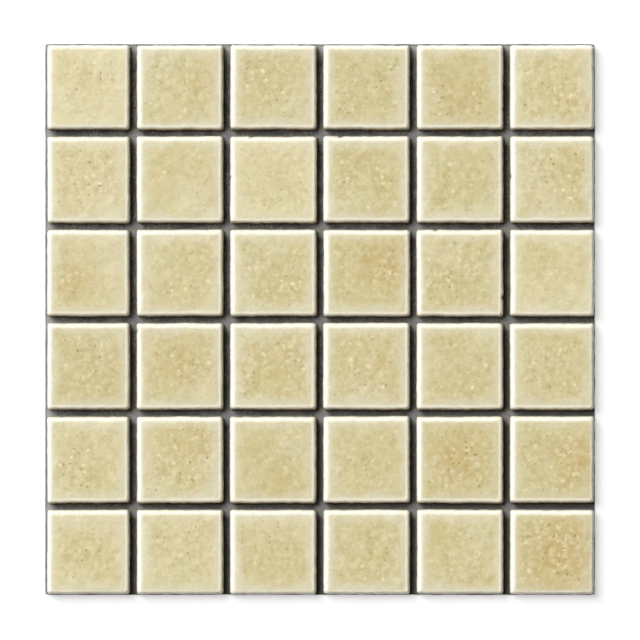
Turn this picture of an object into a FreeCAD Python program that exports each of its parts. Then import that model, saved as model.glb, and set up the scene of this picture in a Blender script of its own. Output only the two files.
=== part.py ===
import FreeCAD, Part
import os

# Mosaic tile sheet: square glazed tiles on one fibre backing, joints left open.
# All sizes are in millimetres. The sheet lies flat, glazed faces up (+Z).
# Origin: middle of the underside of the backing. +X runs along a row of tiles,
# +Y runs up the columns, so that row 1 lies at +Y and column 1 at -X.

# Layout of the sheet. The outer tiles are this much shorter on the side that
# faces the sheet's outline, which keeps the joints on an even pitch.
TILE_SIDE = 48.0
JOINT_WIDTH = 3.6
ROWS = 6
COLUMNS = 6
EDGE_TRIM = 1.6

# Outer form of one tile
TILE_THICKNESS = 6.0
RIM_ROUNDING = 2.2
CORNER_RADIUS = 1.4
FOOT_CHAMFER = 0.4

# Keyed back of one tile: shallow grooves between flat ribs
KEY_GROOVES = 5
KEY_EDGE_LAND = 4.6
KEY_RIB = 2.4
KEY_DEPTH = 0.5

# Fibre backing
BACKING_THICKNESS = 0.8
BACKING_OVERHANG = 0.6
BACKING_CORNER_RADIUS = 1.0

# Sizes that follow from those above
PITCH = TILE_SIDE + JOINT_WIDTH
TILED_WIDTH = COLUMNS * PITCH - JOINT_WIDTH - 2 * EDGE_TRIM
TILED_LENGTH = ROWS * PITCH - JOINT_WIDTH - 2 * EDGE_TRIM


def centred_block(width, length, height):
    """Plain block that stands on the XY plane with its middle on the Z axis."""
    corner = FreeCAD.Vector(-width / 2, -length / 2, 0)
    return Part.makeBox(width, length, height, corner)


def upright_edges(block):
    """Edges of a block that run parallel to Z."""
    return [edge for edge in block.Edges if edge.BoundBox.ZLength > edge.Length / 2]


def edges_at_height(block, height):
    """Edges of a block that lie flat at one height."""
    found = []
    for edge in block.Edges:
        box = edge.BoundBox
        if box.ZLength < edge.Length / 2 and abs(box.Center.z - height) < 1e-3:
            found.append(edge)
    return found


def rounded_block(width, length, height, radius):
    """Block with its four upright edges rounded."""
    block = centred_block(width, length, height)
    return block.makeFillet(radius, upright_edges(block))


def cushioned_block(width, length):
    """Block with the broad rounded glaze rim above and the small chamfer at its foot."""
    block = centred_block(width, length, TILE_THICKNESS)
    cushion = block.makeFillet(RIM_ROUNDING, edges_at_height(block, TILE_THICKNESS))
    return cushion.makeChamfer(FOOT_CHAMFER, edges_at_height(cushion, 0))


def key_grooves(width, length):
    """Parallel recesses of the keyed back, closed towards the sides of the tile."""
    across = width - 2 * KEY_EDGE_LAND
    along = length - 2 * KEY_EDGE_LAND
    step = (across + KEY_RIB) / KEY_GROOVES
    grooves = []
    for index in range(KEY_GROOVES):
        corner = FreeCAD.Vector(index * step - across / 2, -along / 2, 0)
        grooves.append(Part.makeBox(step - KEY_RIB, along, KEY_DEPTH, corner))
    return Part.makeCompound(grooves)


def make_tile(width, length):
    """One tile, standing with its foot centred on the origin."""
    outline = rounded_block(width, length, TILE_THICKNESS, CORNER_RADIUS)
    body = cushioned_block(width, length).common(outline)
    return body.cut(key_grooves(width, length)).Solids[0]


def make_backing():
    """Flat fibre sheet that carries all tiles and shows as a thin rim round them."""
    width = TILED_WIDTH + 2 * BACKING_OVERHANG
    length = TILED_LENGTH + 2 * BACKING_OVERHANG
    return rounded_block(width, length, BACKING_THICKNESS, BACKING_CORNER_RADIUS)


def tile_span(index, count):
    """Both ends of a tile along one axis, counted from the middle of the sheet."""
    start = (index - 1 - count / 2) * PITCH + JOINT_WIDTH / 2
    end = start + TILE_SIDE
    if index == 1:
        start += EDGE_TRIM
    if index == count:
        end -= EDGE_TRIM
    return start, end


def place_tile(row, column):
    """One tile on the backing; rows count down, columns to the right."""
    left, right = tile_span(column, COLUMNS)
    front, rear = tile_span(ROWS + 1 - row, ROWS)
    tile = make_tile(right - left, rear - front)
    tile.translate(FreeCAD.Vector((left + right) / 2, (front + rear) / 2, BACKING_THICKNESS))
    return tile


def write_sheet():
    """Write each separate piece of the sheet as a solid of its own."""
    os.makedirs("parts", exist_ok=True)
    make_backing().exportStep("parts/backing_sheet.step")
    for row in range(1, ROWS + 1):
        for column in range(1, COLUMNS + 1):
            place_tile(row, column).exportStep(f"parts/tile_r{row}_c{column}.step")


write_sheet()
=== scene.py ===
"""Looks of the mosaic tile sheet: 36 glazed tiles on grey fibre, seen from straight above."""

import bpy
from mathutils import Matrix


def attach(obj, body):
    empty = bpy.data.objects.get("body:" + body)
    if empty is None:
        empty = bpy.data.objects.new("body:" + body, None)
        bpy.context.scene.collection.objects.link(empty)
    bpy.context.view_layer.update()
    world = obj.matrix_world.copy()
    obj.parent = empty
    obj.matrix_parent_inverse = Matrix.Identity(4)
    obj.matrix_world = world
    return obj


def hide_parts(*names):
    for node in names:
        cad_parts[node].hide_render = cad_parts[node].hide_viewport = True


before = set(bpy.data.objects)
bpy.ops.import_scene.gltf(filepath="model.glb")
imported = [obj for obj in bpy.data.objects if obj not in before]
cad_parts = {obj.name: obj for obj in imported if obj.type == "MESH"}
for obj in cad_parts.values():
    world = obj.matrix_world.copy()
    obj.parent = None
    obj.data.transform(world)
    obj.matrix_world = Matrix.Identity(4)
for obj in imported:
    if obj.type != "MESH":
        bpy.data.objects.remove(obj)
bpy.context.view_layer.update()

import math
from types import SimpleNamespace

import bpy
import numpy as np
from mathutils import Vector

# Lengths and places are in millimetres, and MM turns them into Blender's metres
MM = 0.001

# Sizes of the CAD model. Row 1 is the top row of the photo, column 1 the left one.
ROWS = 6
COLUMNS = 6
TILE = 48.0
JOINT = 3.6
PITCH = TILE + JOINT
THICK = 6.0
RIM = 2.2
CORNER = 1.4
FOOT = 0.4
SHEET = 304.0
BACKING = 0.8
BACKING_CORNER = 1.0

# Outer tiles are shorter at the sheet's outline, by this much at each side in the photo
TRIM_LEFT = 2.22
TRIM_RIGHT = 1.4
TRIM_BOTTOM = 1.22
TRIM_TOP = 1.22

# Cushioned rim: distance in from the outline, and how many degrees the glaze falls there
RIM_TILTS = [
    (0.0, 87.0), (0.08, 84.0), (0.2, 79.0), (0.4, 72.0), (0.7, 62.0),
    (1.0, 47.0), (1.3, 31.0), (1.6, 17.5), (1.9, 8.5), (2.2, 4.4),
    (2.6, 3.0), (3.2, 2.2), (4.5, 1.4), (6.5, 0.6), (9.0, 0.0),
]
RIM_STEP = 0.01
# Width over which the rims of two sides blend at the mitre of a corner
MITRE_BLEND = 1.6
# The glaze lies this much lower on average, so that its relief stays near the CAD height
SINK = 0.10
# Waviness of the glaze: height, wavelength, number of waves, and the distances in from the
# outline at which it begins and is full
GLAZE_RELIEF = [
    (0.040, 13, 28, 0.6, 4.0),
    (0.018, 6.5, 28, 1.0, 3.4),
    (0.010, 3.4, 36, 1.0, 3.4),
]
# Waviness of a tile's outline: wavelength and number of waves, broad and fine, and their
# heights along X and along Y
OUTLINE_WAVES = ((22, 10), (6, 14))
OUTLINE_HEIGHTS_X = (0.045, 0.034)
OUTLINE_HEIGHTS_Y = (0.065, 0.05)
# How far a tile turns in degrees, grows as a share of its size and shifts at most, as
# pressed and hand-laid tiles do
MOST_TURN = 0.14
MOST_GROWTH = 0.0015
MOST_SHIFT = 0.12

# Side rings of the meshes, from the top down: height, and how far they are drawn in
TILE_SIDES = ((0.6, 0), (FOOT, 0), (0, FOOT))
BACKING_SIDES = ((0.5, 0), (0.2, 0), (0, 0))
# Grid lines across a tile's rim and its face, and across the backing
RIM_LINES = 7
FACE_LINES = 86
BACKING_LINES = 121
# Edges that turn by more degrees than this stay sharp in the shading
SHARP_ANGLE = 50

# The glaze's colours follow the distance in from the outline and, lower down than SIDE_TOP
# above the tile's foot, the height, each mm of which counts as SIDE_PACE mm of distance
SIDE_TOP = 4.2
SIDE_PACE = 1.15
# Rims along the sheet's outline show this much narrower in the photo than those at the
# joints. The difference fades out between these distances in from the outline.
OUTER_RIM_LESS = 0.5
OUTER_RIM_FADE = (4, 12)

# Tiles that stand out in the photo: (row, column): (tone, [(u, v, radius, strength), ...])
# u and v run from the tile's left and top edge, 0 to 1. Tone above 0 is paler than the rest.
STANDING_OUT = {
    (1, 1): (1.1, [(0.5, 0.4, 9, 0.35)]),
    (1, 5): (-0.35, [(0.42, 0.58, 12, 0.85)]),
    (1, 6): (0.25, [(0.72, 0.72, 11, 0.7)]),
    (2, 1): (0.55, [(0.68, 0.52, 9, 0.3)]),
    (2, 2): (0.3, [(0.78, 0.6, 9, 0.35)]),
    (2, 3): (0.75, [(0.62, 0.52, 9, 0.35)]),
    (2, 4): (0.0, [(0.35, 0.28, 9, 0.5)]),
    (3, 1): (0.35, [(0.3, 0.6, 11, 0.6)]),
    (3, 2): (0.2, []),
    (3, 4): (-0.3, [(0.66, 0.36, 14, 1.2)]),
    (3, 6): (0.45, [(0.35, 0.3, 9, 0.3)]),
    (4, 1): (-0.35, [(0.66, 0.5, 12, 0.3)]),
    (4, 2): (-0.2, [(0.5, 0.42, 12, 0.6)]),
    (5, 1): (0.3, []),
    (5, 2): (0.1, [(0.68, 0.32, 12, 0.6)]),
    (5, 3): (-0.45, []),
    (5, 5): (-0.6, [(0.48, 0.46, 16, 1.0)]),
    (5, 6): (-0.65, [(0.84, 0.52, 15, 1.1)]),
    (6, 1): (0.35, [(0.45, 0.5, 9, 0.3)]),
    (6, 2): (0.35, []),
    (6, 6): (-0.75, [(0.62, 0.48, 18, 1.2), (0.45, 0.8, 10, 0.35)]),
}
# Other tiles have a tone drawn from this range. A tile with no patch above has one that is
# barely seen, of this strength, with its middle and its radius drawn from these ranges.
PLAIN_TONES = (-0.3, 0.2)
FAINT_PATCH = 0.22
FAINT_PLACES = (0.3, 0.75)
FAINT_RADII = (8, 13)
# How thick the specks lie on a tile: drawn from this range, and less by this much times a
# tone above 0. In a patch there are more: a base, and shares of its strength and that tone.
SPECK_RANGE = (0.5, 0.9)
SPECK_PALE_LESS = 0.2
SPECK_PATCH_MORE = (0.20, 0.30, 0.25)
# Wavelength and number of waves of the broad clouds of thicker glaze
CLOUD_WAVES = (36, 12)

# Small nicks in the glaze edge seen in the photo: row, column, outward direction,
# place along the side from the tile's middle as a share of its half length, strength
NICKS = [
    (2, 4, (0, 1), -0.60, 1.0),
    (2, 3, (0, 1), -0.52, 0.5),
    (3, 5, (0, 1), -0.56, 0.9),
    (3, 5, (1, 0), -0.565, 1.0),
    (2, 3, (-1, 0), 0.06, 0.5),
    (2, 6, (-1, 0), 0.06, 0.5),
    (4, 2, (-1, 0), 0.80, 0.5),
    (1, 5, (1, 0), -0.50, 0.4),
]
# How far a nick of full strength goes into the outline and down into the glaze, and by how
# many mm it brings the colours of the rim nearer
NICK_INSET = 0.75
NICK_DEPTH = 0.7
NICK_COLOUR = 0.6
# Its middle lies this far in from the outline, and it fades over these lengths
NICK_MIDDLE = 0.4
NICK_ALONG = 1.2
NICK_ACROSS = 0.8

# The backing's outline frays within this distance of it, by up to FRAY_MOST to both sides of
# a line that lies FRAY_INSET in. Its waves, broad and fine: height, wavelength and number.
FRAY_REACH = 3
FRAY_MOST = 0.12
FRAY_INSET = 0.04
FRAY_WAVES = ((0.05, 9, 16), (0.04, 4, 16))
# The photo shows the backing's lip wider at the top than elsewhere, and narrower below
LIP_MORE_TOP = 0.44
LIP_LESS_BOTTOM = 0.15
# The fleece lies lower than the CAD's upper face by its sink, more or less by its relief,
# whose waves are this long
FLEECE_SINK = 0.04
FLEECE_RELIEF = 0.02
FLEECE_WAVE = 5

# Seeds of the random draws
TILE_SEED = 1000
CLOUD_SEED = 7000
BACKING_SEED = 77

# The floor is a square, this many metres from its middle to a side, just under the sheet
FLOOR_HALF = 60.0
FLOOR_GAP = 0.05

# The photo shows this width, and the middle of the sheet a little above the middle of it
SEEN_WIDTH = 353.6
CAMERA_SHIFT = -0.15


def linear(red, green, blue):
    """Scene-linear colour of an sRGB colour given as 0 to 255."""
    out = []
    for value in (red, green, blue):
        s = value / 255
        out.append(s / 12.92 if s <= 0.04045 else ((s + 0.055) / 1.055) ** 2.4)
    return (*out, 1.0)


def smooth(low, high, values):
    """Smooth step from 0 at low to 1 at high."""
    t = np.clip((values - low) / (high - low), 0, 1)
    return t * t * (3 - 2 * t)


def waves(x, y, rng, wavelength, count=28):
    """Smooth random field of about unit deviation with one typical wavelength."""
    total = np.zeros_like(x)
    for _ in range(count):
        length = wavelength * rng.uniform(0.7, 1.6)
        angle = rng.uniform(0, 2 * math.pi)
        phase = rng.uniform(0, 2 * math.pi)
        along = x * math.cos(angle) + y * math.sin(angle)
        total += np.cos(2 * math.pi * along / length + phase)
    return total * math.sqrt(2 / count)


def tile_rng(seed, row, column):
    """Random draws of one tile. No two tiles share a seed."""
    return np.random.default_rng(seed + 17 * row + 131 * column)


def tile_span(index, count, trim_first, trim_last):
    """Middle and half length of a tile along one axis, from the middle of the sheet."""
    start = (index - 1 - count / 2) * PITCH + JOINT / 2
    end = start + TILE
    if index == 1:
        start += trim_first
    if index == count:
        end -= trim_last
    return (start + end) / 2, (end - start) / 2


def grid_lines(half):
    """Grid positions across a tile, closer together over the rounded rim."""
    quarter = math.pi / 2
    rim = [RIM * (1 - math.cos(quarter * i / RIM_LINES)) for i in range(RIM_LINES)]
    middle = np.linspace(-(half - RIM), half - RIM, FACE_LINES)
    low = [-half + d for d in rim]
    high = [half - d for d in reversed(rim)]
    return np.array(low + list(middle) + high)


def grid_faces(count):
    """Quads of a square grid of count x count points, seen from above."""
    i, j = np.meshgrid(np.arange(count - 1), np.arange(count - 1), indexing="ij")
    a = (i * count + j).ravel()
    return np.stack([a, a + count, a + count + 1, a + 1], axis=1)


def ring_indices(count):
    """Outline of a square grid of points, anticlockwise seen from above."""
    last = count - 1
    south = [i * count for i in range(last)]
    east = [last * count + j for j in range(last)]
    north = [i * count + last for i in range(last, 0, -1)]
    west = [j for j in range(last, 0, -1)]
    return south + east + north + west


def round_corners(x, y, half_x, half_y, radius):
    """Move the points of the four corner cells of a grid onto quarter discs."""
    dx = np.maximum(np.abs(x) - (half_x - radius), 0)
    dy = np.maximum(np.abs(y) - (half_y - radius), 0)
    far = np.hypot(dx, dy)
    scale = np.where(far > 1e-9, np.maximum(dx, dy) / np.maximum(far, 1e-9), 1)
    new_x = np.where(dx > 0, np.sign(x) * (half_x - radius + dx * scale), x)
    new_y = np.where(dy > 0, np.sign(y) * (half_y - radius + dy * scale), y)
    return new_x, new_y


def with_sides(top, count, half_x, half_y, levels):
    """Points and faces of a closed mesh: a grid on top, rings down its sides, a flat foot."""
    above = np.array(ring_indices(count))
    rim = top[above]
    outward = rim[:, :2] / np.array([half_x, half_y])
    points = [top]
    faces = [grid_faces(count)]
    total = len(top)
    for height, inset in levels:
        ring = rim.copy()
        ring[:, :2] -= outward * inset
        ring[:, 2] = height
        points.append(ring)
        below = total + np.arange(len(ring))
        faces.append(np.stack([np.roll(above, -1), above, below, np.roll(below, -1)], axis=1))
        above = below
        total += len(ring)
    polygons = [tuple(int(k) for k in quad) for part in faces for quad in part]
    polygons.append(tuple(int(k) for k in above[::-1]))
    return np.concatenate(points), polygons


def make_object(name, points, faces, material):
    """Mesh object from points in millimetres."""
    mesh = bpy.data.meshes.new(name)
    mesh.from_pydata([tuple(p) for p in points * MM], [], faces)
    mesh.validate()
    mesh.materials.append(material)
    mesh.shade_smooth()
    mesh.set_sharp_from_angle(angle=math.radians(SHARP_ANGLE))
    obj = bpy.data.objects.new(name, mesh)
    bpy.context.collection.objects.link(obj)
    return obj


def add_attribute(mesh, name, values):
    """Store numbers or places on the vertices for the materials."""
    if values.ndim == 2:
        layer, key = mesh.attributes.new(name, "FLOAT_VECTOR", "POINT"), "vector"
    else:
        layer, key = mesh.attributes.new(name, "FLOAT", "POINT"), "value"
    layer.data.foreach_set(key, np.ascontiguousarray(values, dtype=np.float32).ravel())


def edge_distance(x, y, half_x, half_y):
    """Distance in from the tile's outline, with softened mitre lines."""
    a = half_x - np.abs(x)
    b = half_y - np.abs(y)
    h = np.clip(0.5 + 0.5 * (b - a) / MITRE_BLEND, 0, 1)
    return np.maximum(b * (1 - h) + a * h - MITRE_BLEND * h * (1 - h), 0)


def rim_height(distance):
    """Height of the cushioned glaze above the tile's foot."""
    steps, tilts = zip(*RIM_TILTS)
    fine = np.linspace(0, steps[-1], round(steps[-1] / RIM_STEP) + 1)
    slope = np.tan(np.radians(np.interp(fine, steps, tilts)))
    rise = np.concatenate([[0], np.cumsum((slope[1:] + slope[:-1]) / 2 * RIM_STEP)])
    return THICK - rise[-1] + np.interp(distance, fine, rise)


def nicked(row, column, x, y, half_x, half_y):
    """How far each point lies in a nick of the glaze edge, 0 to 1, and its new X and Y."""
    depth = np.zeros_like(x)
    new_x, new_y = x.copy(), y.copy()
    for nick_row, nick_column, (out_x, out_y), place, strength in NICKS:
        if (nick_row, nick_column) != (row, column):
            continue
        at_x = (half_x - NICK_MIDDLE) * out_x + place * half_x * abs(out_y)
        at_y = (half_y - NICK_MIDDLE) * out_y + place * half_y * abs(out_x)
        along = (x - at_x) * abs(out_y) + (y - at_y) * abs(out_x)
        across = (x - at_x) * abs(out_x) + (y - at_y) * abs(out_y)
        here = strength * np.exp(-((along / NICK_ALONG) ** 2 + (across / NICK_ACROSS) ** 2))
        depth = np.maximum(depth, here)
        new_x -= NICK_INSET * out_x * here
        new_y -= NICK_INSET * out_y * here
    return depth, new_x, new_y


def on_outer_rim(row, column, x, y, half_x, half_y, distance):
    """1 on the rims along the sheet's outline, fading to 0 further in on the face."""
    beside = smooth(-1, 1, np.abs(x) - half_x - np.abs(y) + half_y)
    outer_x = ((column == 1) & (x < 0)) | ((column == COLUMNS) & (x > 0))
    outer_y = ((row == 1) & (y > 0)) | ((row == ROWS) & (y < 0))
    return (beside * outer_x + (1 - beside) * outer_y) * (1 - smooth(*OUTER_RIM_FADE, distance))


def glaze_surface(row, column, half_x, half_y, rng):
    """Upper surface of a tile: points along a side, all points, and distances in for colours.

    The distance goes below 0 where the rim falls lower than SIDE_TOP.
    """
    gx, gy = np.meshgrid(grid_lines(half_x), grid_lines(half_y), indexing="ij")
    count = len(gx)
    gx, gy = gx.ravel(), gy.ravel()
    distance = edge_distance(gx, gy, half_x, half_y)
    x, y = round_corners(gx, gy, half_x, half_y, CORNER)
    z = rim_height(distance) - SINK
    for height, wavelength, number, begins, full in GLAZE_RELIEF:
        z += smooth(begins, full, distance) * height * waves(x, y, rng, wavelength, number)
    nick, x, y = nicked(row, column, x, y, half_x, half_y)
    z -= NICK_DEPTH * nick
    outer = on_outer_rim(row, column, x, y, half_x, half_y, distance)
    outermost = np.minimum(half_x - np.abs(gx), half_y - np.abs(gy))
    below_rim = np.maximum(SIDE_TOP - rim_height(outermost), 0)
    edge = distance - NICK_COLOUR * nick + OUTER_RIM_LESS * outer - SIDE_PACE * below_rim
    return count, np.stack([x, y, z], axis=1), edge


def tile_glaze(row, column, x, y, rng):
    """Tone of a tile, its tan patches, 0 to about 1, and how thick its specks lie."""
    drawn_tone = rng.uniform(*PLAIN_TONES)
    tone, patches = STANDING_OUT.get((row, column), (drawn_tone, None))
    if not patches:
        place = rng.uniform(*FAINT_PLACES), rng.uniform(*FAINT_PLACES)
        patches = [(*place, rng.uniform(*FAINT_RADII), FAINT_PATCH)]
    pale = max(tone, 0)
    more, by_strength, by_pale = SPECK_PATCH_MORE
    bloom = np.zeros_like(x)
    busy = np.full_like(x, rng.uniform(*SPECK_RANGE) - SPECK_PALE_LESS * pale)
    for u, v, radius, strength in patches:
        dx = x - (u - 0.5) * TILE
        dy = y + (v - 0.5) * TILE
        near = np.exp(-(dx * dx + dy * dy) / (radius * radius))
        bloom += strength * near
        busy += (more + by_strength * min(strength, 1.0) + by_pale * pale) * near
    return tone, bloom, busy


def nearest_side(share_x, share_y):
    """+1 nearest a tile's left side, 0.1 its top, -1 its right and its bottom."""
    side = np.clip(6 * (share_y - share_x), -1, 1)
    at_top = smooth(-0.1, 0.1, np.abs(share_y) - np.abs(share_x))
    return side - 0.9 * np.maximum(side, 0) * at_top


def seated(points, middle_x, middle_y, rng):
    """Points of a tile on the sheet, with slightly uneven outline, size and place."""
    x, y, z = points.T
    wavy = []
    for values, heights in ((x, OUTLINE_HEIGHTS_X), (y, OUTLINE_HEIGHTS_Y)):
        broad, fine = (height * waves(x, y, rng, *wave)
                       for height, wave in zip(heights, OUTLINE_WAVES))
        wavy.append(values + (broad + fine))
    turn = math.radians(rng.uniform(-MOST_TURN, MOST_TURN))
    grow = 1 + rng.uniform(-MOST_GROWTH, MOST_GROWTH)
    shift_x, shift_y = rng.uniform(-MOST_SHIFT, MOST_SHIFT, 2)
    x, y = wavy[0] * grow, wavy[1] * grow
    placed_x = x * math.cos(turn) - y * math.sin(turn) + middle_x + shift_x
    placed_y = x * math.sin(turn) + y * math.cos(turn) + middle_y + shift_y
    return np.stack([placed_x, placed_y, z + BACKING], axis=1)


def make_tile(row, column, material):
    """One glazed tile in its place on the sheet."""
    rng = tile_rng(TILE_SEED, row, column)
    middle_x, half_x = tile_span(column, COLUMNS, TRIM_LEFT, TRIM_RIGHT)
    middle_y, half_y = tile_span(ROWS + 1 - row, ROWS, TRIM_BOTTOM, TRIM_TOP)
    count, top, top_edge = glaze_surface(row, column, half_x, half_y, rng)
    points, polygons = with_sides(top, count, half_x, half_y, TILE_SIDES)
    side_edges = [SIDE_PACE * (height - SIDE_TOP) for height, _ in TILE_SIDES]
    x, y = points[:, 0], points[:, 1]
    tone, bloom, busy = tile_glaze(row, column, x, y, rng)
    clouds = waves(x, y, tile_rng(CLOUD_SEED, row, column), *CLOUD_WAVES)
    apart = np.array([rng.uniform(0, 900), rng.uniform(0, 900), rng.uniform(0, 90)])
    obj = make_object(f"glazed_tile_r{row}_c{column}",
                      seated(points, middle_x, middle_y, rng), polygons, material)
    for name, values in (
        # Place in the glaze's pattern, which is another part of it on each tile
        ("local_mm", points + apart),
        # Distance in from the outline, below 0 on the sides
        ("edge_mm", np.append(top_edge, np.repeat(side_edges, 4 * (count - 1)))),
        # Paler than the other tiles above 0, deeper below 0
        ("tone", np.full(len(points), tone)),
        # Tan patches
        ("bloom", bloom),
        # How thick the crystals and pinholes lie
        ("busy", busy),
        # Which side is the nearest, for the painted highlight and shade on the rims
        ("side", nearest_side(x / half_x, y / half_y)),
        # Broad clouds of thicker glaze, level over the whole face
        ("drift", clouds - clouds[:len(top)].mean()),
    ):
        add_attribute(obj.data, name, values)
    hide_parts(f"tile_r{row}_c{column}")
    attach(obj, "root")


def make_backing(material):
    """Grey fibre sheet with a slightly frayed outline."""
    rng = np.random.default_rng(BACKING_SEED)
    half = SHEET / 2
    within = half - FRAY_REACH
    lines = np.linspace(-half, half, BACKING_LINES)
    gx, gy = np.meshgrid(lines, lines, indexing="ij")
    x, y = round_corners(gx.ravel(), gy.ravel(), half, half, BACKING_CORNER)
    outer = smooth(within, half, np.maximum(np.abs(x), np.abs(y)))
    fray = sum(height * waves(x, y, rng, *wave) for height, *wave in FRAY_WAVES)
    push = np.clip(fray, -FRAY_MOST, FRAY_MOST) - FRAY_INSET
    x, y = (at + outer * np.sign(at) * push * (np.abs(at) > within) for at in (x, y))
    y = y + LIP_MORE_TOP * smooth(within, half, y) - LIP_LESS_BOTTOM * smooth(within, half, -y)
    z = BACKING - FLEECE_SINK + FLEECE_RELIEF * waves(x, y, rng, FLEECE_WAVE)
    top = np.stack([x, y, np.minimum(z, BACKING)], axis=1)
    points, polygons = with_sides(top, BACKING_LINES, half, half, BACKING_SIDES)
    obj = make_object("fibre_backing", points, polygons, material)
    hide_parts("backing_sheet")
    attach(obj, "root")


class Nodes:
    """Short ways to add and link the shader nodes of a material or a world."""

    def __init__(self, owner):
        owner.use_nodes = True
        self.tree = owner.node_tree
        self.tree.nodes.clear()

    def add(self, kind, **settings):
        node = self.tree.nodes.new(kind)
        for key, value in settings.items():
            setattr(node, key, value)
        return node

    def link(self, source, target):
        self.tree.links.new(source, target)

    def put(self, node, **values):
        """Give sockets, named with _ for spaces, a constant or a link to another socket."""
        for name, value in values.items():
            self.fill(node.inputs[name.replace("_", " ")], value)

    def fill(self, socket, value):
        """Give a socket a constant, or link another socket to it."""
        if isinstance(value, bpy.types.NodeSocket):
            self.link(value, socket)
        else:
            socket.default_value = value

    def attribute(self, name, output="Fac"):
        """Values that the mesh holds at its vertices."""
        return self.add("ShaderNodeAttribute", attribute_name=name).outputs[output]

    def math(self, operation, first, second=0.0, third=0.0, clamp=False):
        """Result of a calculation with constants or other sockets."""
        node = self.add("ShaderNodeMath", operation=operation, use_clamp=clamp)
        for socket, value in zip(node.inputs, (first, second, third)):
            self.fill(socket, value)
        return node.outputs[0]

    def times(self, first, second, clamp=False):
        """Product of two values."""
        return self.math("MULTIPLY", first, second, clamp=clamp)

    def swayed(self, value, field, amount):
        """A value moved up and down by a noise field."""
        return self.math("MULTIPLY_ADD", self.math("SUBTRACT", field, 0.5), amount, value)

    def ramp(self, value, low, high, to_low=0.0, to_high=1.0):
        """Smooth step of a value, from to_low at low to to_high at high."""
        node = self.add("ShaderNodeMapRange", interpolation_type="SMOOTHSTEP")
        self.put(node, Value=value, From_Min=low, From_Max=high, To_Min=to_low, To_Max=to_high)
        return node.outputs["Result"]

    def mix(self, factor, first, second):
        """First colour at factor 0, second at 1; the node holds the factor to that range."""
        node = self.add("ShaderNodeMix", data_type="RGBA")
        self.put(node, Factor=factor)
        self.fill(node.inputs[6], first)
        self.fill(node.inputs[7], second)
        return node.outputs[2]

    def tint(self, colour, towards, factor, amount):
        """A colour mixed towards another by a factor times an amount."""
        return self.mix(self.times(factor, amount), colour, towards)

    def sway_tint(self, colour, value, above, amount_above, below, amount_below):
        """A colour mixed towards one other where a value is above 0, another where below."""
        colour = self.tint(colour, above, value, amount_above)
        return self.tint(colour, below, value, -amount_below)

    def scaled(self, vector, scale):
        """Places with each axis stretched by its own scale."""
        node = self.add("ShaderNodeVectorMath", operation="MULTIPLY")
        self.fill(node.inputs[0], vector)
        node.inputs[1].default_value = scale
        return node.outputs[0]

    def noise(self, vector, scale, detail=2.0, roughness=0.5, distortion=0.0, output="Fac"):
        """Smooth random field, scale in waves per mm."""
        node = self.add("ShaderNodeTexNoise", noise_dimensions="3D")
        self.put(node, Vector=vector, Scale=scale, Detail=detail,
                 Roughness=roughness, Distortion=distortion)
        return node.outputs[output]

    def warped(self, vector, scale, amount):
        """Places pushed about by a smooth random field, amount in mm."""
        field = self.noise(vector, scale, 1.0, output="Color")
        node = self.add("ShaderNodeVectorMath", operation="MULTIPLY_ADD")
        self.link(field, node.inputs[0])
        node.inputs[1].default_value = (amount, amount, amount)
        self.fill(node.inputs[2], vector)
        return node.outputs[0]

    def cells(self, vector, scale):
        """Distance and colour of the nearest cell point, over X and Y."""
        node = self.add("ShaderNodeTexVoronoi", voronoi_dimensions="2D", feature="F1")
        self.put(node, Vector=vector, Scale=scale)
        return node.outputs["Distance"], node.outputs["Color"]

    def parts(self, kind, source):
        """The three parts of a colour or a place."""
        node = self.add(kind)
        self.link(source, node.inputs[0])
        return node.outputs[0], node.outputs[1], node.outputs[2]

    def dots(self, vector, scale, radius, share):
        """Scattered soft dots, many weak and few strong.

        share says how many of the cells hold one, and radius is counted in cells.
        """
        distance, colour = self.cells(vector, scale)
        size, pick, force = self.parts("ShaderNodeSeparateColor", colour)
        wide = self.math("MULTIPLY_ADD", size, radius * 0.45, radius * 0.55)
        inside = self.math("SUBTRACT", 1.0, self.math("DIVIDE", distance, wide), clamp=True)
        shape = self.ramp(inside, 0.0, 0.85)
        kept = self.math("LESS_THAN", pick, share)
        strong = self.math("MULTIPLY_ADD", self.math("POWER", force, 2.0), 0.75, 0.25)
        return self.times(self.times(shape, kept), strong)

    def seen_straight(self):
        """1 for rays seen by the camera, in a mirror or through glass, 0 for the others."""
        rays = self.add("ShaderNodeLightPath").outputs
        seen = self.math("MAXIMUM", rays["Is Camera Ray"], rays["Is Glossy Ray"])
        return self.math("MAXIMUM", seen, rays["Is Transmission Ray"])

    def surface(self, colour, roughness, height, **constants):
        """Surface with a relief, whose height is given in mm."""
        relief = self.add("ShaderNodeBump")
        self.put(relief, Strength=1.0, Distance=MM, Height=height)
        shader = self.add("ShaderNodeBsdfPrincipled")
        self.put(shader, Base_Color=colour, Roughness=roughness,
                 Normal=relief.outputs["Normal"], **constants)
        self.output("ShaderNodeOutputMaterial", shader)

    def output(self, kind, shader):
        """Make a shader the surface of the material or the world."""
        self.link(shader.outputs[0], self.add(kind).inputs["Surface"])


def glaze_fields(n):
    """Values of the mesh and random fields that the parts of the glaze share."""
    place = n.attribute("local_mm", "Vector")
    # The glaze runs a little along Y
    flat = n.scaled(place, (1.0, 0.82, 1.0))
    return SimpleNamespace(
        place=place,
        edge=n.attribute("edge_mm"),
        bloom=n.attribute("bloom"),
        side=n.math("MULTIPLY_ADD", n.attribute("side"), 0.5, 0.5),
        cloud=n.noise(flat, 0.085),
        patch=n.noise(flat, 0.065, 2.0, 0.55, 0.4),
        blotch=n.noise(flat, 0.24, 2.0, 0.5, 0.3),
        fleck=n.noise(flat, 0.62),
        mottle=n.noise(place, 0.31, 1.0, 0.4),
        wobble=n.noise(place, 0.22, 3.0, 0.6),
        ragged=n.noise(place, 0.45, 3.0, 0.65),
    )


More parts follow.
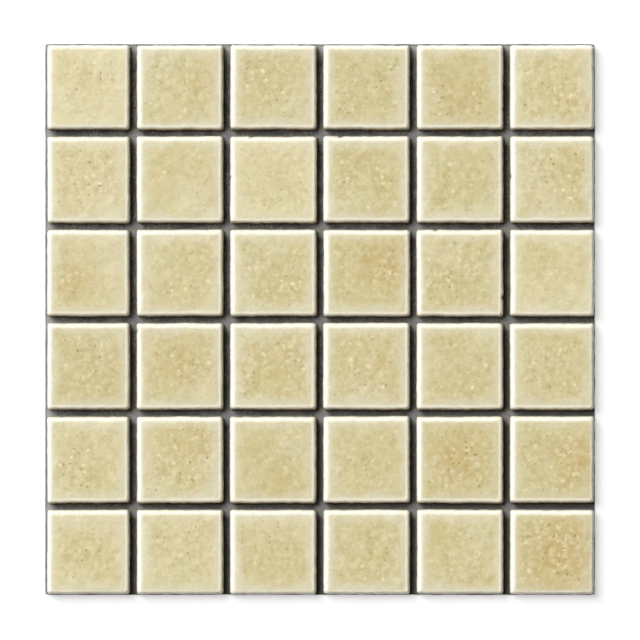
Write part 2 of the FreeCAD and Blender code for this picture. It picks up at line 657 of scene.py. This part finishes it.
def glaze_body(n, fields):
    """Colour of the glaze over the face, with its clouds, its tone and its tan patches."""
    pale = linear(223, 217, 188)
    body = linear(216, 205, 163)
    mustard = linear(201, 187, 134)
    thick = linear(203, 188, 128)
    thin = linear(230, 222, 194)
    light_tone = linear(232, 222, 182)
    pinker = linear(224, 199, 158)
    greener = linear(207, 207, 158)
    tan = linear(197, 173, 114)

    # Depth of the glaze pool: 0 at the rim, 1 in the middle of the face
    pool = n.ramp(n.swayed(fields.edge, fields.cloud, 9.0), 2.6, 9.5)
    colour = n.mix(pool, pale, body)
    blotches = n.times(pool, n.ramp(fields.blotch, 0.40, 0.68))
    flecks = n.times(pool, n.ramp(fields.fleck, 0.47, 0.66))
    patches = n.times(pool, n.ramp(fields.patch, 0.42, 0.62))
    for spots, amount in ((blotches, 0.8), (flecks, 0.2), (patches, 0.35)):
        colour = n.tint(colour, mustard, spots, amount)

    # Thicker towards the middle and in broad clouds
    depth = n.math("ADD", n.times(n.attribute("drift"), 0.17),
                   n.ramp(fields.edge, 6.0, 19.0, 0.02, 0.17))
    colour = n.sway_tint(colour, n.times(depth, pool), thick, 1.0, thin, 1.0)

    # Paler or deeper from tile to tile
    colour = n.sway_tint(colour, n.attribute("tone"), light_tone, 0.6, mustard, 0.52)

    # A little pinker or greener from place to place
    hue = n.math("SUBTRACT", n.noise(fields.place, 0.13, 3.0, 0.62), 0.5)
    colour = n.sway_tint(colour, hue, pinker, 1.2, greener, 1.2)

    warm = n.times(fields.bloom, n.ramp(fields.blotch, 0.30, 0.72, 0.35, 1.0), clamp=True)
    return n.tint(colour, tan, warm, 0.87)


def glaze_specks(n, fields, colour):
    """Colour with blobs, crystals and pinholes in it, and where the last two lie."""
    cream = linear(250, 240, 206)
    warm_cream = linear(241, 225, 174)
    ochre = linear(158, 142, 90)
    rust = linear(150, 112, 62)

    # How many there are: most in the middle of a face
    crowd = n.times(n.ramp(fields.edge, 3.0, 9.0, 0.2, 1.0),
                    n.ramp(fields.patch, 0.36, 0.58, 0.55, 1.35))
    crowd = n.times(crowd, n.attribute("busy"))

    # Soft mottle and blobs, paler above 0 and deeper below 0
    shade = n.times(n.math("SUBTRACT", fields.mottle, 0.5), 4.2)
    shade = n.times(shade, n.ramp(fields.edge, 2.8, 9.0, 0.25, 1.0))
    shade = n.times(shade, n.ramp(fields.patch, 0.38, 0.60, 0.6, 1.15))
    near, cell = n.cells(n.warped(fields.place, 0.25, 3.4), 0.27)
    force = n.parts("ShaderNodeSeparateColor", cell)[0]
    blob = n.times(n.ramp(near, 0.10, 0.70, 1.0, -0.9),
                   n.math("MULTIPLY_ADD", force, 1.2, 0.3))
    shade = n.math("MULTIPLY_ADD", blob, crowd, shade)
    colour = n.sway_tint(colour, shade, cream, 0.14, ochre, 0.09)

    # Small crystals and pinholes, both warmer in the tan patches
    torn = n.warped(fields.place, 0.5, 1.8)
    crystal = n.times(n.dots(torn, 0.25, 0.43, 0.34), crowd, clamp=True)
    colour = n.tint(colour, n.mix(fields.bloom, cream, warm_cream), crystal, 0.72)
    pit = n.dots(n.scaled(torn, (1.0, 1.1, 1.0)), 0.30, 0.38, 0.46)
    pit = n.times(pit, crowd, clamp=True)
    colour = n.tint(colour, n.tint(ochre, rust, fields.bloom, 0.9), pit, 0.74)
    return colour, crystal, pit


def glaze_rim(n, fields, colour):
    """Colour of glaze thin over the rim, thicker where run down; painted highlight and shade.
    """
    lit_rim_white = linear(248, 246, 233)
    shaded_rim_cream = linear(252, 245, 222)
    shaded_run_pale = linear(196, 184, 148)
    shaded_run_deep = linear(182, 168, 128)
    lit_run_white = linear(230, 228, 217)

    # Painted highlight and shade: whiter at the left and the top, which face the lamp
    edge = n.swayed(n.swayed(fields.edge, fields.wobble, 0.5), fields.ragged, 1.1)
    inner = n.math("MULTIPLY_ADD", fields.side, -0.4, 1.8)
    outer = n.math("MULTIPLY_ADD", fields.side, 0.75, 3.4)
    thin = n.ramp(edge, inner, outer, 1.0, 0.0)
    colour = n.mix(thin, colour, n.mix(fields.side, shaded_rim_cream, lit_rim_white))

    # Glaze run down the sides, higher and darker at the right and bottom as painted shade
    run_top = n.math("MULTIPLY_ADD", fields.side, -0.4, 1.2)
    run = n.ramp(edge, -1.0, run_top, 0.92, 0.0)
    run_colour = n.mix(n.ramp(fields.fleck, 0.40, 0.66), shaded_run_pale, shaded_run_deep)
    # Painted highlight: the run whiter at the left and the top, which face the lamp
    run_colour = n.tint(run_colour, lit_run_white, fields.side, 1.8)
    return n.mix(run, colour, run_colour)


def glaze_material():
    """Mottled beige glaze, pale where it thins over the rim, pitted in the middle."""
    material = bpy.data.materials.new("beige_glaze")
    n = Nodes(material)
    fields = glaze_fields(n)
    colour, crystal, pit = glaze_specks(n, fields, glaze_body(n, fields))
    colour = glaze_rim(n, fields, colour)

    # Bare clay below the glaze line on the sides
    bare = n.ramp(n.swayed(fields.edge, fields.wobble, 1.6), -1.3, -0.85, 1.0, 0.0)
    grain = n.noise(fields.place, 2.4, 3.0, 0.6)
    clay = n.mix(grain, linear(134, 112, 84), linear(182, 160, 128))
    colour = n.mix(bare, colour, clay)

    rough = n.math("MAXIMUM", n.ramp(fields.fleck, 0.3, 0.7, 0.24, 0.36),
                   n.times(bare, 0.85))
    relief = n.times(n.times(fields.mottle, 0.07), n.ramp(fields.edge, 1.2, 4.0))
    relief = n.math("MULTIPLY_ADD", pit, -0.10, relief)
    relief = n.math("MULTIPLY_ADD", crystal, 0.05, relief)
    relief = n.math("MULTIPLY_ADD", n.times(grain, bare), 0.12, relief)
    n.surface(colour, rough, relief, IOR=1.5)
    return material


def joint_light(n, x, y, colour):
    """Colour of the fleece with painted shadow and painted light in the halves of the joints.
    """
    # Distance from the nearest joint's middle line, and the same with a sign
    x_off = n.math("PINGPONG", x, PITCH / 2)
    y_off = n.math("PINGPONG", y, PITCH / 2)
    x_side = n.math("WRAP", x, PITCH / 2, -PITCH / 2)
    y_side = n.math("WRAP", y, PITCH / 2, -PITCH / 2)
    in_column = n.times(n.ramp(x_off, 2.1, 2.6, 1.0, 0.0), n.ramp(y_off, 2.0, 6.0))
    in_row = n.times(n.ramp(y_off, 2.1, 2.6, 1.0, 0.0), n.ramp(x_off, 2.0, 6.0))

    # Painted shadow: darker in the left half of the columns of joints
    shaded = n.times(in_column, n.ramp(x_side, -0.6, 1.0, 0.57, 0.0))
    colour = n.mix(shaded, colour, linear(44, 43, 42))

    # Painted light: paler at the foot of the tile sides that face the light
    foot_x = n.times(in_column, n.ramp(x_side, 1.0, 1.8, 0.0, 0.38))
    foot_y = n.times(in_row, n.ramp(y_side, -1.8, -1.0, 0.5, 0.0))
    return n.mix(n.math("MAXIMUM", foot_x, foot_y), colour, linear(150, 150, 148))


def outline_light(n, x, y, colour):
    """Fleece colour with painted light at the open ends of the joints and at the left lip."""
    left = -SHEET / 2
    top = SHEET / 2
    left_end = n.times(n.ramp(x, left + 0.8, left + 1.4),
                       n.ramp(x, left + 1.5, left + 8.2, 0.64, 0.0))
    top_end = n.times(n.ramp(y, top - 1.1, top - 0.5, 1.0, 0.0),
                      n.ramp(y, top - 11.0, top - 0.5, 0.0, 0.5))
    colour = n.mix(n.math("MAXIMUM", left_end, top_end), colour, linear(186, 186, 185))

    # Painted light on the lip beside the first column, which faces the lamp
    lit_lip = n.ramp(x, left + 0.8, left + 1.5, 0.45, 0.0)
    return n.mix(lit_lip, colour, linear(168, 168, 167))


def crossing_light(n, x, y, felt, colour):
    """Colour of the fleece, paler where four tiles meet, as painted light.

    The middle of the pale spot lies to the lower right, where the light comes in.
    """
    x_off = n.math("PINGPONG", n.math("SUBTRACT", x, 1.2), PITCH / 2)
    y_off = n.math("PINGPONG", n.math("ADD", y, 2.0), PITCH / 2)
    square_off = n.math("ADD", n.math("POWER", x_off, 2.0), n.math("POWER", y_off, 2.0))
    square_off = n.math("MULTIPLY_ADD", felt, 6.0, square_off)
    crossing = n.ramp(square_off, 7.0, 34.0, 0.34, 0.0)
    return n.mix(crossing, colour, linear(176, 178, 178))


def backing_material():
    """Mottled grey fibre fleece with a fine scrim in it, and painted light and shade."""
    material = bpy.data.materials.new("grey_fibre")
    n = Nodes(material)
    coordinates = n.add("ShaderNodeTexCoord").outputs["Object"]
    place = n.scaled(coordinates, (1 / MM, 1 / MM, 1 / MM))
    x, y, _ = n.parts("ShaderNodeSeparateXYZ", place)
    across = n.noise(n.scaled(place, (0.25, 2.6, 1.0)), 1.0, 3.0, 0.6, 0.6)
    along = n.noise(n.scaled(place, (2.6, 0.25, 1.0)), 1.0, 3.0, 0.6, 0.6)
    fibres = n.math("MAXIMUM", across, along)
    felt = n.noise(place, 1.1, 4.0, 0.65)
    cloud = n.noise(place, 0.11, 2.0, 0.6)
    mottle = n.math("MULTIPLY_ADD", felt, 0.6, n.times(fibres, 0.4))
    colour = n.mix(n.ramp(mottle, 0.38, 0.66), linear(72, 71, 69), linear(150, 149, 146))
    colour = n.mix(n.ramp(cloud, 0.36, 0.66, 0.0, 0.62), colour, linear(60, 59, 58))

    # Deeper towards the lower right of the sheet
    lower = n.math("MULTIPLY_ADD", x, 0.5, n.times(y, -1.0))
    colour = n.mix(n.ramp(lower, -150.0, 190.0, 0.0, 0.75), colour, linear(80, 79, 77))

    # Light and shade that go beyond what the lamps do, as in the photo
    colour = joint_light(n, x, y, colour)
    colour = outline_light(n, x, y, colour)
    colour = crossing_light(n, x, y, felt, colour)

    rough = n.ramp(felt, 0.3, 0.7, 0.82, 0.96)
    relief = n.math("MULTIPLY_ADD", fibres, 0.25, n.times(felt, 0.25))
    n.surface(colour, rough, relief, Specular_IOR_Level=0.05)
    return material


def floor_material():
    """White floor that stays white in view and keeps the object's shadow."""
    material = bpy.data.materials.new("white_floor")
    n = Nodes(material)
    glow = n.add("ShaderNodeEmission")
    n.put(glow, Color=(1, 1, 1, 1), Strength=0.53)
    paper = n.add("ShaderNodeBsdfDiffuse")
    n.put(paper, Color=(0.51, 0.51, 0.515, 1))
    in_view = n.add("ShaderNodeAddShader")
    n.link(glow.outputs[0], in_view.inputs[0])
    n.link(paper.outputs[0], in_view.inputs[1])
    plain = n.add("ShaderNodeBsdfDiffuse")
    n.put(plain, Color=(0.8, 0.8, 0.8, 1))
    choice = n.add("ShaderNodeMixShader")
    n.link(n.seen_straight(), choice.inputs[0])
    n.link(plain.outputs[0], choice.inputs[1])
    n.link(in_view.outputs[0], choice.inputs[2])
    n.output("ShaderNodeOutputMaterial", choice)
    return material


def make_floor():
    """Large level floor just under the sheet."""
    mesh = bpy.data.meshes.new("floor")
    corners = [(x * FLOOR_HALF, y * FLOOR_HALF, -FLOOR_GAP * MM)
               for x, y in ((-1, -1), (1, -1), (1, 1), (-1, 1))]
    mesh.from_pydata(corners, [], [(0, 1, 2, 3)])
    mesh.materials.append(floor_material())
    obj = bpy.data.objects.new("floor", mesh)
    bpy.context.collection.objects.link(obj)


def make_sun(name, energy, spread, towards, colour=(1.0, 1.0, 1.0)):
    """Far lamp that lies towards a direction and is as wide as its spread in degrees."""
    lamp = bpy.data.lights.new(name, "SUN")
    lamp.energy = energy
    lamp.angle = math.radians(spread)
    lamp.color = colour
    sun = bpy.data.objects.new(name, lamp)
    sun.rotation_mode = "QUATERNION"
    sun.rotation_quaternion = Vector(towards).to_track_quat("Z", "Y")
    bpy.context.collection.objects.link(sun)
    return sun


def make_light():
    """Large soft lamp from the upper left, a soft gloss, and an even pale surround."""
    key = make_sun("key", energy=4.18, spread=42, towards=(-0.53, 0.455, 0.715),
                   colour=(1.0, 0.995, 0.98))
    key.visible_glossy = False
    # Soft gloss on the rims that face the key
    gloss = make_sun("gloss", energy=1.4, spread=40, towards=(-0.42, 0.37, 0.83))
    gloss.visible_diffuse = False

    # White in view and in gloss, and a weak light on everything else
    world = bpy.data.worlds.new("surround")
    bpy.context.scene.world = world
    n = Nodes(world)
    sky = n.add("ShaderNodeBackground")
    n.put(sky, Color=(1, 1, 1, 1), Strength=n.ramp(n.seen_straight(), 0.0, 1.0, 0.035, 1.0))
    n.output("ShaderNodeOutputWorld", sky)


def make_camera():
    """Straight down from far away, so that the sheet shows no perspective."""
    data = bpy.data.cameras.new("camera")
    data.type = "PERSP"
    data.lens = 500.0
    data.sensor_width = 36.0
    data.clip_start = 0.1
    data.clip_end = 60.0
    distance = SEEN_WIDTH / 2 / (data.sensor_width / 2 / data.lens)
    camera = bpy.data.objects.new("camera", data)
    camera.location = (0.0, CAMERA_SHIFT * MM, (BACKING + THICK + distance) * MM)
    bpy.context.collection.objects.link(camera)
    bpy.context.scene.camera = camera


bpy.context.scene.view_settings.view_transform = "Standard"
make_camera()
make_light()
make_floor()
glaze = glaze_material()
for tile_row in range(1, ROWS + 1):
    for tile_column in range(1, COLUMNS + 1):
        make_tile(tile_row, tile_column, glaze)
make_backing(backing_material())
